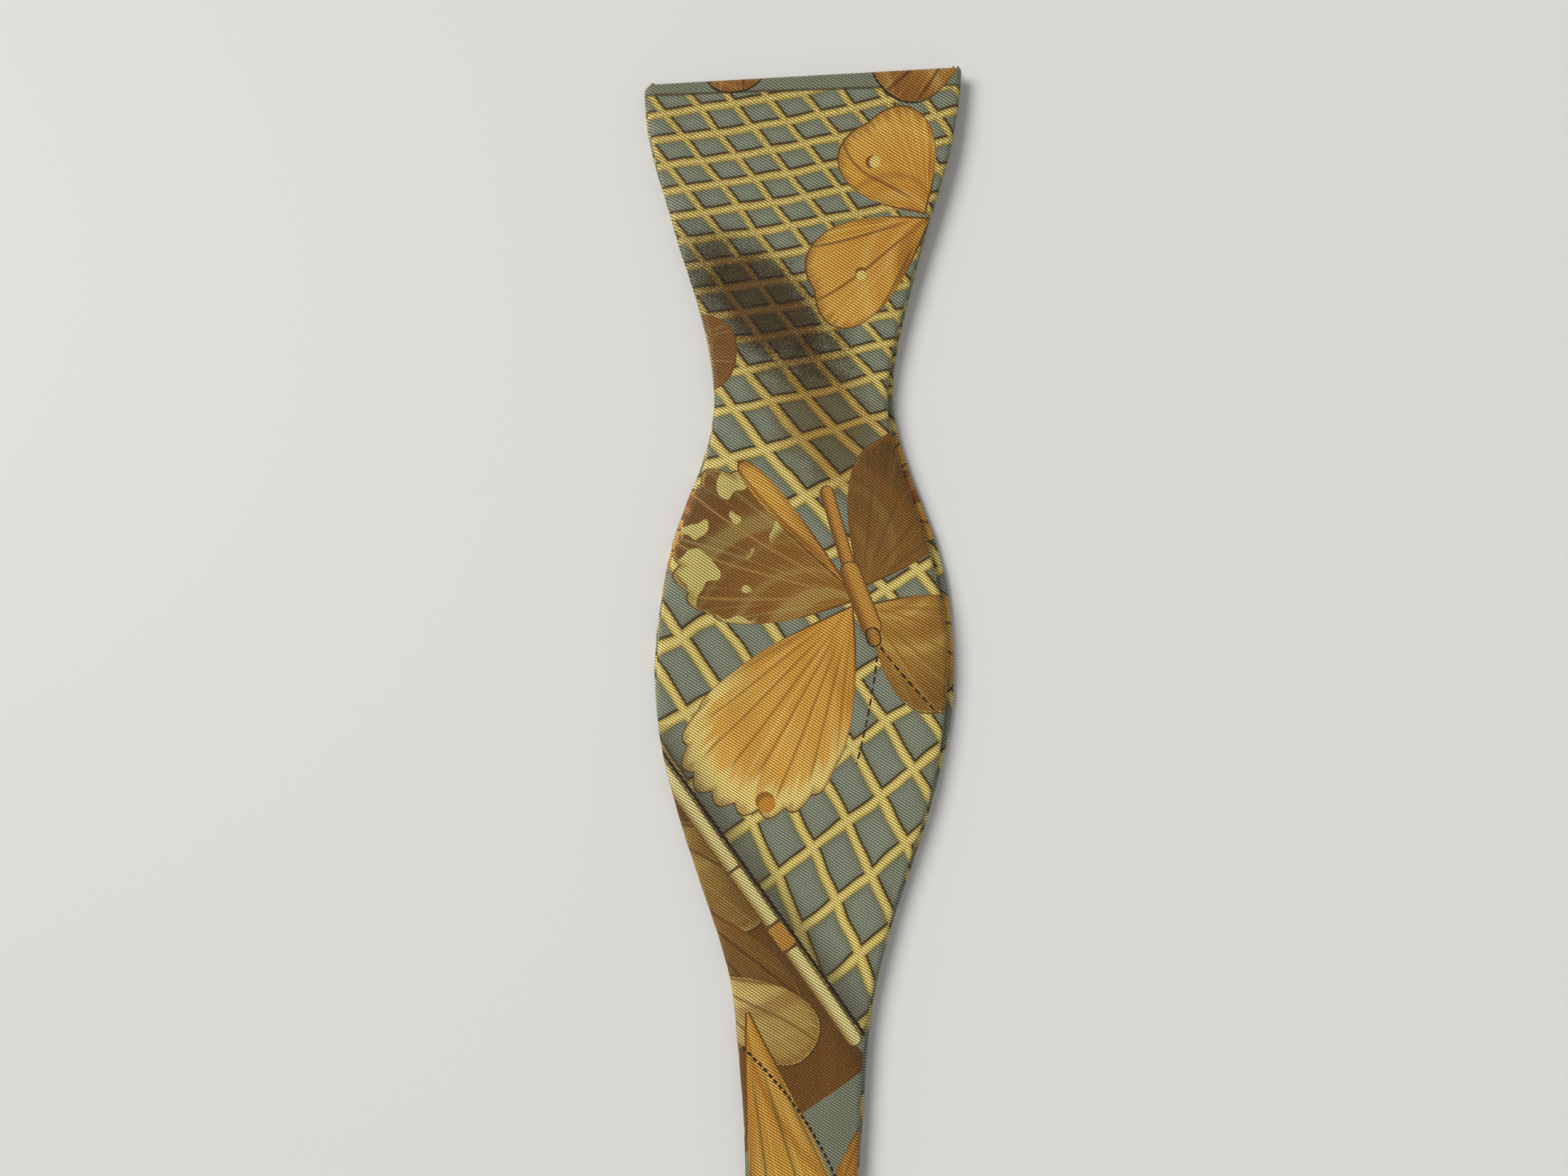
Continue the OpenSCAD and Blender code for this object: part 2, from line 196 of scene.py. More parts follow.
class Strap:
    """Two layers of cloth along a path in the (y, z) plane.

    s is the distance along the path. The +1 side faces up where the path runs towards -y. Over the
    last stretch, fine mm long, the rows are close together.
    """

    def __init__(self, points, thickness, fine, lie=(0, 0, 0), tip=False, seed=1.0, lift=0.0,
                 s_from=0.0, soft=(1.0, 0.4)):
        path = np.array(points, float)
        run = run_along(path)
        self.length = run[-1]
        self.s = np.linspace(0, self.length, int(self.length * PATH_STEPS_PER_MM))
        self.p = blur(resample(self.s, run, path), 3)
        self.t = unit(np.gradient(self.p, axis=0))
        self.fine_from = self.length - fine
        self.thickness, self.tip, self.s_from = thickness, tip, s_from
        self.lie, self.seed, self.lift, self.soft = lie, seed, lift, soft

    def at(self, s):
        """Place on the path, and the +1 side's direction, at each distance."""
        along = unit(resample(s, self.s, self.t))
        return resample(s, self.s, self.p), np.stack([along[:, 1], -along[:, 0]], 1)

    def rows(self, angles, edge, inset, step):
        """Distances of the rows of points, and how far round the tip's edge each one is."""
        even = np.arange(0, self.length, step)
        close = np.arange(self.fine_from, self.length, FINE_STEP)
        even = np.concatenate([even[even < self.fine_from], close])
        even = np.append(even[even < self.length - 0.2], self.length)
        if not self.tip:
            return even, np.ones(len(even))
        round_tip = inset + edge * (1 - np.cos(angles))
        near = inset + edge + EDGE_STEPS[:3]
        s = np.concatenate([round_tip, near, even[even > near[-1] + 0.5]])
        rise = np.concatenate([np.sin(angles), np.ones(len(s) - len(angles))])
        return s, rise

    def columns(self, angles, edge, half, middle):
        """Across one row: places from edge to edge, and how far round the edge each one is."""
        round_edge = -half + edge * (1 - np.cos(angles))[None, :]
        beside = -half + edge + EDGE_STEPS[None, :]
        reach = half - edge - EDGE_STEPS[-1]
        inner = reach * np.linspace(-1, 1, middle + 2)[None, 1:-1]
        x = np.concatenate([round_edge, beside, inner, -beside[:, ::-1], -round_edge[:, ::-1]], 1)
        flat = np.ones(x.shape[1] - 2 * len(angles))
        return x, np.concatenate([np.sin(angles), flat, np.sin(angles)[::-1]])

    def spread(self, s):
        """Half width of the cloth, and its middle's place sideways."""
        on_blade = (s < BAND_AT) * float(self.tip)
        mid_share = np.sin(np.pi * np.clip(s / BAND_AT, 0, 1)) * on_blade
        tip_share = np.clip(1 - s / WAIST_AT, 0, 1) ** 2 * on_blade
        half = half_width(s + (0 if self.tip else BAND_AT)) + self.lie[2] * mid_share
        return half[:, None], (self.lie[0] * mid_share + self.lie[1] * tip_share)[:, None]

    def surface(self, side, inside=False):
        """Points of one side, from seam to seam, and their (x, s) on the cloth.

        The inside is the interlining, which stops short of the turned-in silk on the blade.
        """
        angles = np.linspace(0.0 if inside else side * SEAM_ANGLE, math.pi / 2, EDGE_ROWS)
        thin = SILK_T + PAD_GAP if inside else 0.0
        edge_at_tip = (self.thickness(np.zeros(1))[0] / 2 - thin) * EDGE_DEPTH
        step, middle = PAD_MESH if inside else SILK_MESH
        s, rise_along = self.rows(angles, edge_at_tip, ALLOWANCE if inside else 0.0, step)
        place, normal = self.at(s)
        inset = np.zeros_like(s)
        if inside:
            inset = PAD_INSET + (ALLOWANCE - PAD_INSET) * (1 - smooth(*PAD_WIDENS, s)) * float(self.tip)
        core = self.thickness(s) / 2 - thin
        full, centre = self.spread(s)
        half = full - inset[:, None]
        x, rise_across = self.columns(angles, (core * EDGE_DEPTH)[:, None], half, middle)
        up = np.minimum(rise_across[None, :], rise_along[:, None])
        grid_s = np.repeat(s[:, None], x.shape[1], 1)
        depth = full - np.abs(x)
        if self.tip:
            x = self.rounded_corners(x, half, grid_s - inset[:, None])
            depth = np.minimum(depth, grid_s)
        # The two edges waver on their own
        wander = WAVER[0] * ripple(grid_s, np.sign(x) * 40, WAVER[1], self.seed)
        wander = wander + JITTER[0] * ripple(grid_s, np.sign(x) * 15, JITTER[1], self.seed + 2)
        x_lie = x * (1 + wander / half) + centre

        relief = self.relief(grid_s, x, depth, side) * smooth(1.0, 1.9, self.thickness(s))[:, None]
        height = side * (core[:, None] * up + relief * smooth(0.6, 1.0, up)) + self.rise(grid_s, x_lie)
        slant = x * TIP_SLOPE * np.clip(1 - grid_s / WAIST_AT, 0, 1) * float(self.tip)
        y = place[:, :1] + normal[:, :1] * height + slant
        z = np.maximum(place[:, 1:] + normal[:, 1:] * height, FLOOR_GAP + thin)
        return np.stack([x_lie, y, z], -1), np.stack([x, grid_s + self.s_from], -1)

    @staticmethod
    def rounded_corners(x, half, s):
        for sign, radius in CORNERS:
            cut = np.clip(radius - s, 0, radius)
            pull = radius - np.sqrt(radius * radius - cut * cut)
            x = x - sign * pull * smooth(0.4, 1.0, sign * x / half)
        return x

    def relief(self, s, x, depth, side):
        """The turned-in allowance's ridge, puckers along the seam, and a soft unevenness."""
        ridge = RIDGE_RISE * smooth(0.6, 3.0, depth) - RIDGE_FALL * smooth(5.5, 9.0, depth)
        pucker = PUCKER[0] * ripple(s, x * 0.4, PUCKER[1], self.seed + side) * np.exp(-depth / 2.6)
        swell = SWELL[0] * ripple(s, x, SWELL[1], self.seed + 3 * side)
        share = self.soft[0] if side > 0 else self.soft[1]
        return (ridge + pucker + swell) * smooth(0.2, 1.2, depth) * share

    def rise(self, s, x):
        """How far the cloth rises off what it lies on."""
        share = np.clip(0.5 + 0.5 * ripple(s, x, LIFT_WAVELENGTH, self.seed + 5), 0, 1)
        return self.lift * share * smooth(0, 20, s) * (1 - smooth(210, 250, s))


# ---- meshes
# Two grids of points that are closer than this meet without a wall
THINNEST_WALL = 0.02
# A direction that no thread or wire runs in
NEARLY_UP = [0.123, 0.0, 1.0]
PLY_DEPTH = 0.16
# Angles between faces, in degrees: in one plane, an edge to bevel, an edge that shades sharply
FLAT_DEG, BEVEL_DEG, SHARP_DEG = 1.5, 35, 40


def grid_faces(n, m, offset=0):
    index = np.arange(n * m).reshape(n, m) + offset
    corners = [index[:-1, :-1], index[1:, :-1], index[1:, 1:], index[:-1, 1:]]
    return np.stack([c.ravel() for c in corners], 1).tolist()


def rim(n, m):
    """Indices round the border of an n by m grid."""
    index = np.arange(n * m).reshape(n, m)
    return np.concatenate([index[0], index[1:, -1], index[-1, -2::-1], index[-2:0:-1, 0]])


def linked(name, data):
    """An object in the scene that shows a mesh, a light or a camera."""
    made = bpy.data.objects.new(name, data)
    bpy.context.scene.collection.objects.link(made)
    return made


def new_object(name, points_mm, faces, cloth=None, merge_mm=0.0):
    """A smooth closed mesh; cloth holds each point's (x, s) on the cloth, in millimetres."""
    mesh = bpy.data.meshes.new(name)
    mesh.from_pydata((np.asarray(points_mm, float) * MM).tolist(), [], [list(f) for f in faces])
    if cloth is not None:
        flat = np.zeros((len(mesh.vertices), 3), np.float32)
        flat[:, :2] = cloth
        attribute = mesh.attributes.new("cloth_mm", "FLOAT_VECTOR", "POINT")
        attribute.data.foreach_set("vector", flat.ravel())
    edit = bmesh.new()
    edit.from_mesh(mesh)
    if merge_mm:
        bmesh.ops.remove_doubles(edit, verts=edit.verts, dist=merge_mm * MM)
    bmesh.ops.recalc_face_normals(edit, faces=edit.faces)
    edit.to_mesh(mesh)
    edit.free()
    mesh.polygons.foreach_set("use_smooth", [True] * len(mesh.polygons))
    mesh.update()
    return linked(name, mesh)


def shell(name, top, bottom, cloth=None, merge_mm=0.0):
    """A closed mesh between two grids of points."""
    n, m = top.shape[:2]
    border = rim(n, m)
    after = np.roll(border, -1)
    points = np.concatenate([top.reshape(-1, 3), bottom.reshape(-1, 3)])
    wall = np.stack([border, after, after + n * m, border + n * m], 1)
    height = np.linalg.norm(points[wall[:, :2]] - points[wall[:, [3, 2]]], axis=2).max(1)
    faces = grid_faces(n, m) + grid_faces(n, m, n * m) + wall[height > THINNEST_WALL].tolist()
    if cloth is not None:
        cloth = np.concatenate([cloth.reshape(-1, 2)] * 2)
    return new_object(name, points, faces, cloth, merge_mm)


def sheet_of(name, strap, side):
    """A thin closed layer of silk on one side of a strap, and its flat size and area."""
    points, cloth = strap.surface(side)
    outward = unit(side * np.cross(np.gradient(points, axis=0), np.gradient(points, axis=1)))
    made = shell(name, points, points - outward * SILK_T, cloth)
    across = np.linalg.norm(np.diff(points, axis=1), axis=-1)
    along = np.linalg.norm(np.diff(points, axis=0), axis=-1)
    area = (across[:-1] * along[:, :-1]).sum() * MM * MM
    flat = (across.sum(1).max() * MM, along.sum(0).max() * MM)
    return made, flat, area


def pad_of(name, strap):
    """The closed interlining inside a strap."""
    top, cloth = strap.surface(1, inside=True)
    bottom, _ = strap.surface(-1, inside=True)
    return shell(name, top, bottom, cloth, merge_mm=0.004)


def tube(name, routes, radius, plies=2, pitch=1.1, sides=14, closed=False):
    """Round bars or twisted threads along routes given in millimetres, joined in one mesh."""
    vertices, faces = [], []
    for route in routes:
        path = np.array(route, float)
        ahead = np.roll(path, -1, 0) - np.roll(path, 1, 0) if closed else np.gradient(path, axis=0)
        ahead = unit(ahead)
        side = unit(np.cross(ahead, NEARLY_UP))
        top = np.cross(side, ahead)
        angle = np.linspace(0, 2 * math.pi, sides, endpoint=False)[None, :]
        twist = 2 * math.pi * run_along(path)[:, None] / pitch
        shape = radius * (1 + (PLY_DEPTH * np.cos(plies * (angle - twist)) if plies else 0))
        count = len(path)
        if not closed:
            ends = np.minimum(np.arange(count), np.arange(count)[::-1])[:, None]
            shape = shape * np.sqrt(np.clip((ends + 0.35) / 2.0, 0, 1))
        ring = (path[:, None] + side[:, None] * (shape * np.cos(angle))[..., None]
                + top[:, None] * (shape * np.sin(angle))[..., None])
        base = len(vertices)
        vertices += ring.reshape(-1, 3).tolist()
        for i in range(count if closed else count - 1):
            row, ahead_row = base + i * sides, base + (i + 1) % count * sides
            for k in range(sides):
                beside = (k + 1) % sides
                faces.append([row + k, row + beside, ahead_row + beside, ahead_row + k])
        if not closed:
            faces.append([base + k for k in range(sides)][::-1])
            faces.append([base + (count - 1) * sides + k for k in range(sides)])
    return new_object(name, vertices, faces)


def softened(name, node, bevel_mm):
    """A copy of a CAD node with its edges rounded."""
    source = frame["nodes"][node]
    edit = bmesh.new()
    edit.from_mesh(source.data)
    bmesh.ops.remove_doubles(edit, verts=edit.verts, dist=0.002 * MM)
    bmesh.ops.dissolve_limit(edit, angle_limit=math.radians(FLAT_DEG), verts=edit.verts,
                             edges=edit.edges)
    turned = [e for e in edit.edges
              if len(e.link_faces) == 2 and e.calc_face_angle(0) > math.radians(BEVEL_DEG)]
    bmesh.ops.bevel(edit, geom=turned, offset=bevel_mm * MM, segments=3, profile=0.6,
                    affect="EDGES", clamp_overlap=True)
    mesh = bpy.data.meshes.new(name)
    edit.to_mesh(mesh)
    edit.free()
    mesh.polygons.foreach_set("use_smooth", [True] * len(mesh.polygons))
    mesh.set_sharp_from_angle(angle=math.radians(SHARP_DEG))
    return linked(name, mesh)


# ---- shader nodes as arithmetic
class Field:
    """A number that varies over the surface, with arithmetic that adds shader nodes."""

    tree = None

    def __init__(self, socket):
        self.socket = socket

    def __add__(self, other):
        return op("ADD", self, other)

    def __sub__(self, other):
        return op("SUBTRACT", self, other)

    def __rsub__(self, other):
        return op("SUBTRACT", other, self)

    def __mul__(self, other):
        return op("MULTIPLY", self, other)

    def __truediv__(self, other):
        return op("DIVIDE", self, other)

    __radd__ = __add__
    __rmul__ = __mul__


def node(kind, inputs=None, **settings):
    """Adds a shader node to the tree being built; inputs are values, sockets or fields."""
    made = Field.tree.nodes.new(kind)
    for name, value in settings.items():
        setattr(made, name, value)
    for slot, value in (inputs or {}).items():
        if isinstance(value, Field):
            value = value.socket
        if isinstance(value, bpy.types.NodeSocket):
            Field.tree.links.new(value, made.inputs[slot])
        else:
            made.inputs[slot].default_value = value
    return made


def op(name, *values):
    return Field(node("ShaderNodeMath", dict(enumerate(values)), operation=name).outputs[0])


def absolute(a):
    return op("ABSOLUTE", a)


def least(a, b):
    return op("MINIMUM", a, b)


def most(a, b):
    return op("MAXIMUM", a, b)


def sine(a):
    return op("SINE", a)


def to_nearest(a):
    """Signed distance from a to the nearest whole number."""
    return op("FRACT", a + 0.5) - 0.5


def ramp(a, start, end, low=0, high=1):
    """An even curve from low, where a is start, to high, where a is end."""
    values = {0: a, 1: start, 2: end, 3: low, 4: high}
    return Field(node("ShaderNodeMapRange", values, interpolation_type="SMOOTHSTEP").outputs[0])


def rgb(code):
    """Linear colour from an sRGB code such as "A0B0C0"."""
    parts = [int(code[i:i + 2], 16) / 255 for i in (0, 2, 4)]
    return [p / 12.92 if p <= 0.04045 else ((p + 0.055) / 1.055) ** 2.4 for p in parts] + [1.0]


def tint(mask, a, b, kind="MIX"):
    """Colour a, with colour b over it where the mask is 1."""
    a, b = (rgb(colour) if isinstance(colour, str) else colour for colour in (a, b))
    return node("ShaderNodeMix", {0: mask, 6: a, 7: b}, data_type="RGBA", blend_type=kind).outputs[2]


def split(vector):
    parts = node("ShaderNodeSeparateXYZ", {0: vector})
    return Field(parts.outputs[0]), Field(parts.outputs[1])


def easing(s, start, length):
    """0 up to the start, then a parabola over the length, then the line that carries it on."""
    past = most(s - start, 0)
    near = least(past, length)
    return near * (past * 2 - near)


def plus(a, factor, b):
    """a times factor, plus b."""
    return op("MULTIPLY_ADD", a, factor, b)


def noise(vector, scale, detail=2, rough=0.5, over="2D"):
    values = {"Vector": vector, "Scale": scale, "Detail": detail, "Roughness": rough}
    return Field(node("ShaderNodeTexNoise", values, noise_dimensions=over).outputs[0])


def streaks(along, detail=2):
    """Noise along one number. It takes no vector, so that a long print fits the shader's stack."""
    values = {"W": along, "Scale": 1, "Detail": detail}
    return Field(node("ShaderNodeTexNoise", values, noise_dimensions="1D").outputs[0])


# ---- the silk's print
GROUND, GROUND_LIGHT, GROUND_EDGE = "7C8473", "8A9384", "81805A"
BAR, BAR_LIGHT, BAR_WORN, SHADOW_LINE = "CBB155", "F0DE8C", "8A6A2C", "3E2609"
OCHRE, OCHRE_LIGHT, OCHRE_DEEP = "D08F2A", "E2AC46", "8F5714"
GOLD, GOLD_LIGHT, GOLD_PALE, GOLD_VEIN = "DD9C34", "EDB650", "F4E08C", "A8701F"
BROWN, BROWN_LIGHT, BROWN_VEIN = "72480F", "A06D22", "B78A4A"
UMBER, UMBER_DEEP, HONEY_AND_FOLD_SHADE = "8A5E1F", "583A10", "BE8E38"
CREAM, BLOTCH, STRAW, TAN = "E9CF78", "D5C878", "D9C272", "AA883E"
TAIL, THORAX, HEAD = "C98F3C", "CE9640", "B9822F"
PETAL_TIP, PETAL_VEIN = "E6C25C", "6E6230"
INK, SMOKE, HAZE, RUST, RUST_LIGHT = "1E1206", "76592F", "BCA070", "9A3F1E", "B8552A"
LEAF, LEAF_PALE, LEAF_VEIN, LEAF_EDGE, LEAF_SHADE = "8A6528", "CDB066", "5A3A12", "4A2F0E", "4A300E"
DRY_LEAF, DRY_VEIN = "D9C07A", "7A5A26"
CANE, CANE_SIDE, CANE_EDGE, CANE_COLLAR, CANE_SHADOW = "E2D696", "A88B4A", "6B4C20", "C08A36", "3F3A20"
# Distance from the tip where the trellis's close rows begin to widen
CLOSE_ROWS = 45


class Print:
    """A print painted layer by layer over the cloth's own (x, s) coordinates, in millimetres.

    Every layer starts from one Mapping node, so that Cycles works the layers out one after another
    and the print fits in its stack.
    """

    def __init__(self, cloth, offset):
        self.place = node("ShaderNodeMapping", {0: cloth, 1: (*offset, 0)}).outputs[0]
        self.u, self.s = split(self.place)
        self.colour = rgb(GROUND)

    def local(self, origin, angle, size=1):
        """Coordinates from an origin on the cloth, along and across a direction, in units of size."""
        along, across = size if isinstance(size, tuple) else (size, size)
        ca, sa = math.cos(math.radians(angle)), math.sin(math.radians(angle))
        x0, y0 = -(origin[0] * ca + origin[1] * sa), origin[0] * sa - origin[1] * ca
        x = plus(self.u, ca / along, plus(self.s, sa / along, x0 / along))
        return x, plus(self.u, -sa / across, plus(self.s, ca / across, y0 / across))

    def paint(self, mask, colour, kind="MIX"):
        self.colour = tint(mask, self.colour, colour, kind)

    def line(self, start, end):
        """Coordinates along and across the line between two places, and its length."""
        dx, dy = end[0] - start[0], end[1] - start[1]
        x, y = self.local(start, math.degrees(math.atan2(dy, dx)))
        return x, y, math.hypot(dx, dy)

    def trellis(self):
        """Crossing gold bars: close, flat rows near the tip, and larger cells below the waist."""
        u, s = self.u, self.s
        # Phases that are whole numbers at the middle of a falling and of a rising bar
        falling = u * ramp(s, CLOSE_ROWS, 90, 0.133, 0.1035) - s * 0.1 + easing(s, 75, 95) * 0.000305
        rising = s * 0.187 - easing(s, 48.5, 35) * 0.001686
        rising = rising + u * (ramp(s, CLOSE_ROWS, 170, 0.0263, 0.054) + u * 0.0002)
        waver = (noise(self.place, 0.11, 1) - 0.5) * 0.13
        # Millimetres from the middle of the nearest bar, and past its side
        a = to_nearest(falling + waver + 0.41) * ramp(s, CLOSE_ROWS, 160, 6, 8.9)
        b = to_nearest(rising - waver - 0.70) * ramp(s, CLOSE_ROWS, 85, 5.3, 11.8)
        gap_a = absolute(a) - ramp(s, CLOSE_ROWS, 85, 0.58, 0.95)
        gap_b = absolute(b) - ramp(s, CLOSE_ROWS, 85, 0.72, 1)
        gap = least(gap_a, gap_b)
        self.paint(ramp(gap, 0.3, 2), GROUND_LIGHT)
        self.paint(ramp(gap, 0.75, 0) * 0.6, GROUND_EDGE)
        lines = most(ramp(gap_a, 0.56, 0.4) * ramp(a, 0.2, 0.5),
                     ramp(gap_b, 0.6, 0.44) * ramp(b, -0.2, -0.5))
        self.paint(lines * 0.92, SHADOW_LINE)
        self.paint(ramp(gap, 0.14, -0.14), BAR)
        self.paint(ramp(gap, -0.1, -0.75) * 0.85, BAR_LIGHT)
        dots = noise(self.place, 2.4, 1)
        self.paint(ramp(dots, 0.5, 0.62) * ramp(gap, 0.3, -0.2) * ramp(s, 84, 30) * 0.5, BAR_WORN)

    def cloud(self, centre, angle, size, colour, strength):
        """A soft stain of shadow over the bars, built up of fine dots at its border."""
        x, y = self.local(centre, angle, size)
        far = op("SQRT", x * x + y * y)
        dots = noise(self.place, 2.6, 1)
        ragged = far + (noise(self.place, 0.16, 3) - 0.5) * 0.5 + (dots - 0.5) * 0.7
        self.paint(ramp(ragged, 1.1, 0.4) * strength, colour, "MULTIPLY")

    def wing(self, root, angle, length, spread, fill, deep, pale=CREAM, scallops=4, scallop=0.05,
             veins=5, vein=OCHRE_DEEP, margin=3.5, blotches=0, skew=0, edge=BROWN, blunt=2.6,
             mottle=1, within=None):
        """One butterfly wing: a lobe with a scalloped margin, veins and an outline."""
        x, y = self.local(root, angle, length)
        # 1 at the wing's end and at its two sides
        r = op("SQRT", x * x + y * y)
        t = op("ARCTAN2", y, x) / math.radians(spread)
        across = absolute(t)
        lobe = op("SQRT", most(1 - op("POWER", across, blunt), 0)) * (1 + t * skew)
        reach = lobe * (1 - (1 - absolute(sine(t * (math.pi * scallops / 2)))) * scallop)
        side = length * math.radians(spread)
        # Millimetres in from the outline
        depth = least((reach - r) * length, (1 - across) * r * side)
        # Strokes that run out from the root, then bands across them
        strokes = streaks(t * 14 + r * 1.6 + float(angle))
        body = tint(ramp(r + strokes * 0.5, 0.4, 1.25), fill, deep)
        body = tint(ramp(strokes, 0.5, 0.8) * 0.35, body, pale)
        bands = streaks(r * 4.5 + t * 1.3 - float(angle), 1)
        body = tint(ramp(bands, 0.5, 0.68) * (0.26 * mottle), body, pale)
        body = tint(ramp(bands, 0.46, 0.3) * (0.4 * mottle), body, OCHRE_DEEP)
        ray = to_nearest(t * (veins / 2) + 0.25 * sine(r * 2.6)) * r * (side * 2 / veins)
        body = tint(ramp(absolute(ray), 0.42, 0.16) * ramp(r, 0.1, 0.3) * 0.7, body, vein)
        if blotches:
            spots = noise(self.place, 6.6 / length, 0.6)
            body = tint(ramp(spots, blotches, blotches + 0.02) * ramp(r, 0.5, 0.56), body, pale)
        # A pale fringe, dark hatching and the outline
        fringe = depth + (strokes - 0.5) * (margin * 1.6)
        body = tint(ramp(fringe, margin, margin * 0.45) * ramp(r, 0.45, 0.7) * 0.9, body, pale)
        hatch = depth + (strokes - 0.5) * 4
        body = tint(ramp(hatch, 2.6, 0.6) * ramp(r, 0.2, 0.4) * 0.5, body, OCHRE_DEEP)
        body = tint(ramp(depth, 0.56, 0.38), body, edge)
        mask = ramp(depth, 0.02, 0.14)
        self.paint(mask * within if within else mask, body)

    def petal(self, *values, **settings):
        """A wing shape without scallops."""
        self.wing(*values, scallop=0, **settings)

    def rod(self, start, end, width, fill, shade, edge=BROWN):
        """A straight, rounded bar between two places."""
        x, y, length = self.line(start, end)
        over = most(most(x - length, x * -1), 0)
        depth = width / 2 - op("SQRT", over * over + y * y)
        self.paint(ramp(depth, 0.02, 0.14), edge)
        body = tint(ramp(absolute(y + width * 0.12), 0.1 * width, 0.5 * width), fill, shade)
        self.paint(ramp(depth, 0.28, 0.45), body)

    def dashes(self, start, end, thickness=0.36, dash=2.2, bow=0.004):
        """A drawn dashed line, slightly bowed."""
        x, y, length = self.line(start, end)
        off = absolute(y - x * (length - x) * bow)
        mask = ramp(off, thickness * 0.7, thickness * 0.4) * ramp(x, 0, 0.3) * ramp(x, length, length - 0.3)
        self.paint(mask * ramp(absolute(to_nearest(x / dash)), 0.12, 0.2), INK)

    def eye(self, centre, size, angle=0, rim=OCHRE_DEEP, pupil=CREAM):
        """A small spot with a darker crescent beside it."""
        x, y = self.local(centre, angle, size)
        beside = (x + 0.5) * (x + 0.5) + y * y
        self.paint(ramp(beside, 1.5, 1.1), rim)
        self.paint(ramp(x * x + y * y * 0.8, 1, 0.7), pupil)

    def rolled_edge_and_fold_shade(self, depth, slope):
        """The strip at the tip where the other face's silk rolls over the seam, with a line of painted
        shade along its fold.
        """
        past = self.s - depth - self.u * slope
        self.paint(ramp(past, 0.1, -0.1), GROUND)
        # Painted shade: a dark line along the fold of the rolled seam
        self.paint(ramp(absolute(past), 0.4, 0.15) * 0.75, SHADOW_LINE)

    def plain(self, low, high):
        """A stretch without bars."""
        self.paint(ramp(self.s, low, low + 2) * ramp(self.s, high, high - 6), GROUND)

    def cane(self, start, end):
        """A jointed cane that slants across the narrowing blade, with shaded leaves behind it."""
        x, y, length = self.line(start, end)
        self.paint(ramp(y, -9, -2) * ramp(x, length + 4, length - 6) * 0.62, CANE_SHADOW)
        behind = ramp(y, 0.2, 0.5) * ramp(x, length + 6.5, length + 6.2)
        self.paint(behind, BROWN)
        leaf = {"edge": LEAF_EDGE, "within": behind}
        self.petal((-34, 150), 34, 34, 32, TAN, LEAF, LEAF_PALE, veins=3, vein=LEAF_VEIN, margin=2, **leaf)
        self.petal((-30, 163), 50, 42, 24, LEAF, BROWN, TAN, vein=LEAF_EDGE, margin=1, **leaf)
        self.petal((-24, 181), 30, 31, 26, DRY_LEAF, TAN, veins=3, vein=DRY_VEIN, margin=1, **leaf)
        self.paint(ramp(y, 6, 1) * behind * 0.45, LEAF_SHADE)
        self.paint(ramp(absolute(y + 2.15), 0.42, 0.26) * ramp(x, length + 5, length + 4.5), INK)
        self.rod(start, end, 3.4, CANE, CANE_SIDE, edge=CANE_EDGE)
        # A collar round the cane, and its joints
        self.paint(ramp(absolute(y), 1.75, 1.5) * ramp(absolute(x - 43), 3, 2.7), CANE_COLLAR)
        for joint in (26.5, 40, 46):
            bulge = absolute(x - joint) - (y * y * 0.09)
            self.paint(ramp(absolute(y), 2, 1.8) * ramp(bulge, 0.34, 0.2), CANE_EDGE)


def motif(low, high, kind, *values, **settings):
    """A part of the print that lies between two distances from the tip."""
    return low, high, kind, values, settings


